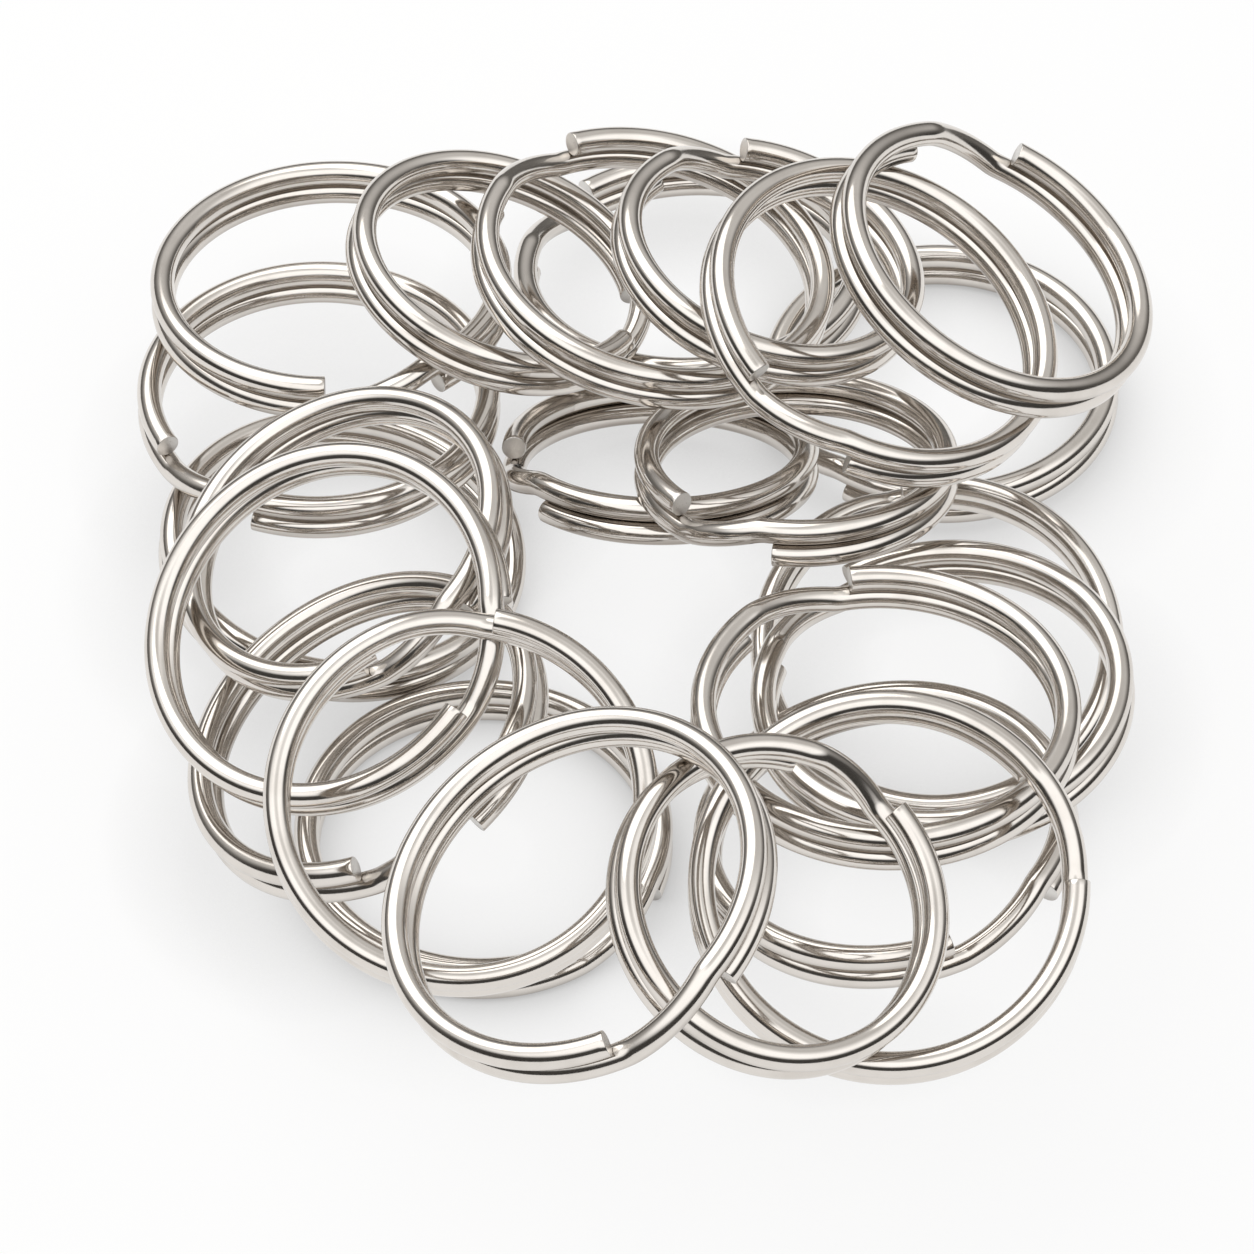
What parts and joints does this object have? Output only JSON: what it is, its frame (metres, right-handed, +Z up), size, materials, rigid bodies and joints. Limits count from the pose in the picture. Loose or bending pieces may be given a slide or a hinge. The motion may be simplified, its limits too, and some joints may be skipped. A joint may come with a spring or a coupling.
{
  "type": "split key rings",
  "caption": "Heap of split key rings in several sizes; each is a double coil of round nickel-plated wire with a free end that pries up to thread keys on.",
  "frame": {"origin": "middle of the heap's outline in plan, on the surface the heap lies on", "axes": "+Z up from that surface; +Y away from the open side of the heap, towards its crowded row of rings; +X to the right"},
  "size_m": [0.0828, 0.1146, 0.0387],
  "materials": {
    "coil": "bright nickel plate, softly polished",
    "free_end": "bright nickel plate, softly polished, cut end"
  },
  "bodies": {
    "ring_01_coil": {"ring_01_coil": "coil"},
    "ring_01_free_end": {"ring_01_free_end": "free_end"},
    "ring_02_coil": {"ring_02_coil": "coil"},
    "ring_02_free_end": {"ring_02_free_end": "free_end"},
    "ring_03_coil": {"ring_03_coil": "coil"},
    "ring_03_free_end": {"ring_03_free_end": "free_end"},
    "ring_04_coil": {"ring_04_coil": "coil"},
    "ring_04_free_end": {"ring_04_free_end": "free_end"},
    "ring_05_coil": {"ring_05_coil": "coil"},
    "ring_05_free_end": {"ring_05_free_end": "free_end"},
    "ring_06_coil": {"ring_06_coil": "coil"},
    "ring_06_free_end": {"ring_06_free_end": "free_end"},
    "ring_07_coil": {"ring_07_coil": "coil"},
    "ring_07_free_end": {"ring_07_free_end": "free_end"},
    "ring_08_coil": {"ring_08_coil": "coil"},
    "ring_08_free_end": {"ring_08_free_end": "free_end"},
    "ring_09_coil": {"ring_09_coil": "coil"},
    "ring_09_free_end": {"ring_09_free_end": "free_end"},
    "ring_10_coil": {"ring_10_coil": "coil"},
    "ring_10_free_end": {"ring_10_free_end": "free_end"},
    "ring_11_coil": {"ring_11_coil": "coil"},
    "ring_11_free_end": {"ring_11_free_end": "free_end"},
    "ring_12_coil": {"ring_12_coil": "coil"},
    "ring_12_free_end": {"ring_12_free_end": "free_end"},
    "ring_13_coil": {"ring_13_coil": "coil"},
    "ring_13_free_end": {"ring_13_free_end": "free_end"},
    "ring_14_coil": {"ring_14_coil": "coil"},
    "ring_14_free_end": {"ring_14_free_end": "free_end"},
    "ring_15_coil": {"ring_15_coil": "coil"},
    "ring_15_free_end": {"ring_15_free_end": "free_end"},
    "ring_16_coil": {"ring_16_coil": "coil"},
    "ring_16_free_end": {"ring_16_free_end": "free_end"},
    "ring_17_coil": {"ring_17_coil": "coil"},
    "ring_17_free_end": {"ring_17_free_end": "free_end"},
    "ring_18_coil": {"ring_18_coil": "coil"},
    "ring_18_free_end": {"ring_18_free_end": "free_end"},
    "ring_19_coil": {"ring_19_coil": "coil"},
    "ring_19_free_end": {"ring_19_free_end": "free_end"},
    "ring_20_coil": {"ring_20_coil": "coil"},
    "ring_20_free_end": {"ring_20_free_end": "free_end"},
    "ring_21_coil": {"ring_21_coil": "coil"},
    "ring_21_free_end": {"ring_21_free_end": "free_end"},
    "ring_22_coil": {"ring_22_coil": "coil"},
    "ring_22_free_end": {"ring_22_free_end": "free_end"},
    "ring_23_coil": {"ring_23_coil": "coil"},
    "ring_23_free_end": {"ring_23_free_end": "free_end"},
    "ring_24_coil": {"ring_24_coil": "coil"},
    "ring_24_free_end": {"ring_24_free_end": "free_end"}
  },
  "joints": [
    {"name": "ring_01_pry", "type": "hinge", "parent": "ring_01_coil", "child": "ring_01_free_end", "pos_m": [0.01406, 0.04231, 0.00415], "axis": [-0.819, 0.5731, -0.0267], "range_deg": [0, 8], "stiffness_Nm_per_rad": 3},
    {"name": "ring_02_lift", "type": "slide", "parent": "ring_01_coil", "child": "ring_02_coil", "axis": [0, 0, 1], "range_m": [0, 0.02]},
    {"name": "ring_02_pry", "type": "hinge", "parent": "ring_02_coil", "child": "ring_02_free_end", "pos_m": [-0.01924, 0.00103, 0.00558], "axis": [0.3414, -0.9399, -0.0106], "range_deg": [0, 8], "stiffness_Nm_per_rad": 3},
    {"name": "ring_03_lift", "type": "slide", "parent": "ring_02_coil", "child": "ring_03_coil", "axis": [0, 0, 1], "range_m": [0, 0.02]},
    {"name": "ring_03_pry", "type": "hinge", "parent": "ring_03_coil", "child": "ring_03_free_end", "pos_m": [-0.01705, -0.02724, 0.00404], "axis": [-0.342, -0.9397, 0], "range_deg": [0, 8], "stiffness_Nm_per_rad": 3},
    {"name": "ring_04_lift", "type": "slide", "parent": "ring_03_coil", "child": "ring_04_coil", "axis": [0, 0, 1], "range_m": [0, 0.02]},
    {"name": "ring_04_pry", "type": "hinge", "parent": "ring_04_coil", "child": "ring_04_free_end", "pos_m": [-0.03948, 0.03164, 0.01072], "axis": [-0.9397, 0.3418, -0.0061], "range_deg": [0, 8], "stiffness_Nm_per_rad": 3},
    {"name": "ring_05_lift", "type": "slide", "parent": "ring_04_coil", "child": "ring_05_coil", "axis": [0, 0, 1], "range_m": [0, 0.02]},
    {"name": "ring_05_pry", "type": "hinge", "parent": "ring_05_coil", "child": "ring_05_free_end", "pos_m": [-0.00587, 0.02934, 0.0066], "axis": [-0.6428, 0.6998, -0.3116], "range_deg": [0, 8], "stiffness_Nm_per_rad": 3},
    {"name": "ring_06_lift", "type": "slide", "parent": "ring_05_coil", "child": "ring_06_coil", "axis": [0, 0, 1], "range_m": [0, 0.02]},
    {"name": "ring_06_pry", "type": "hinge", "parent": "ring_06_coil", "child": "ring_06_free_end", "pos_m": [-0.03192, -0.02068, 0.00957], "axis": [-0.7051, -0.6428, -0.2993], "range_deg": [0, 8], "stiffness_Nm_per_rad": 3},
    {"name": "ring_07_lift", "type": "slide", "parent": "ring_06_coil", "child": "ring_07_coil", "axis": [0, 0, 1], "range_m": [0, 0.02]},
    {"name": "ring_07_pry", "type": "hinge", "parent": "ring_07_coil", "child": "ring_07_free_end", "pos_m": [-0.0317, -0.00603, 0.01475], "axis": [-0.5852, -0.7506, -0.3069], "range_deg": [0, 8], "stiffness_Nm_per_rad": 3},
    {"name": "ring_08_lift", "type": "slide", "parent": "ring_07_coil", "child": "ring_08_coil", "axis": [0, 0, 1], "range_m": [0, 0.02]},
    {"name": "ring_08_pry", "type": "hinge", "parent": "ring_08_coil", "child": "ring_08_free_end", "pos_m": [-0.02411, -0.02043, 0.01599], "axis": [0.0585, -0.9415, -0.332], "range_deg": [0, 8], "stiffness_Nm_per_rad": 3},
    {"name": "ring_09_lift", "type": "slide", "parent": "ring_08_coil", "child": "ring_09_coil", "axis": [0, 0, 1], "range_m": [0, 0.02]},
    {"name": "ring_09_pry", "type": "hinge", "parent": "ring_09_coil", "child": "ring_09_free_end", "pos_m": [-0.00133, -0.01939, 0.0251], "axis": [0.866, 0.4532, 0.2113], "range_deg": [0, 8], "stiffness_Nm_per_rad": 3},
    {"name": "ring_10_lift", "type": "slide", "parent": "ring_09_coil", "child": "ring_10_coil", "axis": [0, 0, 1], "range_m": [0, 0.02]},
    {"name": "ring_10_pry", "type": "hinge", "parent": "ring_10_coil", "child": "ring_10_free_end", "pos_m": [0.00693, 0.05626, 0.00703], "axis": [0.1765, 0.974, -0.1418], "range_deg": [0, 8], "stiffness_Nm_per_rad": 3},
    {"name": "ring_11_lift", "type": "slide", "parent": "ring_10_coil", "child": "ring_11_coil", "axis": [0, 0, 1], "range_m": [0, 0.02]},
    {"name": "ring_11_pry", "type": "hinge", "parent": "ring_11_coil", "child": "ring_11_free_end", "pos_m": [0.03275, 0.01144, 0.01171], "axis": [0.6325, 0.7278, 0.265], "range_deg": [0, 8], "stiffness_Nm_per_rad": 3},
    {"name": "ring_12_lift", "type": "slide", "parent": "ring_11_coil", "child": "ring_12_coil", "axis": [0, 0, 1], "range_m": [0, 0.02]},
    {"name": "ring_12_pry", "type": "hinge", "parent": "ring_12_coil", "child": "ring_12_free_end", "pos_m": [-0.03618, 0.02673, 0.01584], "axis": [-0.766, -0.638, 0.0783], "range_deg": [0, 8], "stiffness_Nm_per_rad": 3},
    {"name": "ring_13_lift", "type": "slide", "parent": "ring_12_coil", "child": "ring_13_coil", "axis": [0, 0, 1], "range_m": [0, 0.02]},
    {"name": "ring_13_pry", "type": "hinge", "parent": "ring_13_coil", "child": "ring_13_free_end", "pos_m": [0.01194, -0.03113, 0.01115], "axis": [-0.5, -0.866, 0], "range_deg": [0, 8], "stiffness_Nm_per_rad": 3},
    {"name": "ring_14_lift", "type": "slide", "parent": "ring_13_coil", "child": "ring_14_coil", "axis": [0, 0, 1], "range_m": [0, 0.02]},
    {"name": "ring_14_pry", "type": "hinge", "parent": "ring_14_coil", "child": "ring_14_free_end", "pos_m": [0.02828, 0.00364, 0.01655], "axis": [0.3414, 0.9399, 0.0106], "range_deg": [0, 8], "stiffness_Nm_per_rad": 3},
    {"name": "ring_15_lift", "type": "slide", "parent": "ring_14_coil", "child": "ring_15_coil", "axis": [0, 0, 1], "range_m": [0, 0.02]},
    {"name": "ring_15_pry", "type": "hinge", "parent": "ring_15_coil", "child": "ring_15_free_end", "pos_m": [-0.00858, 0.02229, 0.01859], "axis": [0.1782, -0.9836, 0.0284], "range_deg": [0, 8], "stiffness_Nm_per_rad": 3},
    {"name": "ring_16_lift", "type": "slide", "parent": "ring_15_coil", "child": "ring_16_coil", "axis": [0, 0, 1], "range_m": [0, 0.02]},
    {"name": "ring_16_pry", "type": "hinge", "parent": "ring_16_coil", "child": "ring_16_free_end", "pos_m": [0.00082, 0.01433, 0.01847], "axis": [-0.9848, 0.1651, -0.0537], "range_deg": [0, 8], "stiffness_Nm_per_rad": 3},
    {"name": "ring_17_lift", "type": "slide", "parent": "ring_16_coil", "child": "ring_17_coil", "axis": [0, 0, 1], "range_m": [0, 0.02]},
    {"name": "ring_17_pry", "type": "hinge", "parent": "ring_17_coil", "child": "ring_17_free_end", "pos_m": [0.00627, 0.04444, 0.02013], "axis": [0.3299, 0.9364, -0.1193], "range_deg": [0, 8], "stiffness_Nm_per_rad": 3},
    {"name": "ring_18_lift", "type": "slide", "parent": "ring_17_coil", "child": "ring_18_coil", "axis": [0, 0, 1], "range_m": [0, 0.02]},
    {"name": "ring_18_pry", "type": "hinge", "parent": "ring_18_coil", "child": "ring_18_free_end", "pos_m": [0.01841, 0.03805, 0.0221], "axis": [0.6082, 0.7568, -0.2395], "range_deg": [0, 8], "stiffness_Nm_per_rad": 3},
    {"name": "ring_19_lift", "type": "slide", "parent": "ring_18_coil", "child": "ring_19_coil", "axis": [0, 0, 1], "range_m": [0, 0.02]},
    {"name": "ring_19_pry", "type": "hinge", "parent": "ring_19_coil", "child": "ring_19_free_end", "pos_m": [0.00717, 0.02089, 0.03361], "axis": [-0.9147, 0.1549, 0.3732], "range_deg": [0, 8], "stiffness_Nm_per_rad": 3},
    {"name": "ring_20_lift", "type": "slide", "parent": "ring_19_coil", "child": "ring_20_coil", "axis": [0, 0, 1], "range_m": [0, 0.02]},
    {"name": "ring_20_pry", "type": "hinge", "parent": "ring_20_coil", "child": "ring_20_free_end", "pos_m": [0.02794, -0.00532, 0.02098], "axis": [0.6428, 0.7631, -0.0668], "range_deg": [0, 8], "stiffness_Nm_per_rad": 3},
    {"name": "ring_21_lift", "type": "slide", "parent": "ring_20_coil", "child": "ring_21_coil", "axis": [0, 0, 1], "range_m": [0, 0.02]},
    {"name": "ring_21_pry", "type": "hinge", "parent": "ring_21_coil", "child": "ring_21_free_end", "pos_m": [0.02764, -0.04488, 0.01963], "axis": [0.6428, -0.7103, -0.287], "range_deg": [0, 8], "stiffness_Nm_per_rad": 3},
    {"name": "ring_22_lift", "type": "slide", "parent": "ring_21_coil", "child": "ring_22_coil", "axis": [0, 0, 1], "range_m": [0, 0.02]},
    {"name": "ring_22_pry", "type": "hinge", "parent": "ring_22_coil", "child": "ring_22_free_end", "pos_m": [0.03925, 0.02932, 0.02536], "axis": [0.7784, 0.5, -0.3796], "range_deg": [0, 8], "stiffness_Nm_per_rad": 3},
    {"name": "ring_23_lift", "type": "slide", "parent": "ring_22_coil", "child": "ring_23_coil", "axis": [0, 0, 1], "range_m": [0, 0.02]},
    {"name": "ring_23_pry", "type": "hinge", "parent": "ring_23_coil", "child": "ring_23_free_end", "pos_m": [0.02217, -0.04029, 0.02387], "axis": [0.9414, -0.0323, -0.3358], "range_deg": [0, 8], "stiffness_Nm_per_rad": 3},
    {"name": "ring_24_lift", "type": "slide", "parent": "ring_23_coil", "child": "ring_24_coil", "axis": [0, 0, 1], "range_m": [0, 0.02]},
    {"name": "ring_24_pry", "type": "hinge", "parent": "ring_24_coil", "child": "ring_24_free_end", "pos_m": [-0.01338, -0.05298, 0.02908], "axis": [-0.5852, -0.7506, -0.3069], "range_deg": [0, 8], "stiffness_Nm_per_rad": 3}
  ]
}
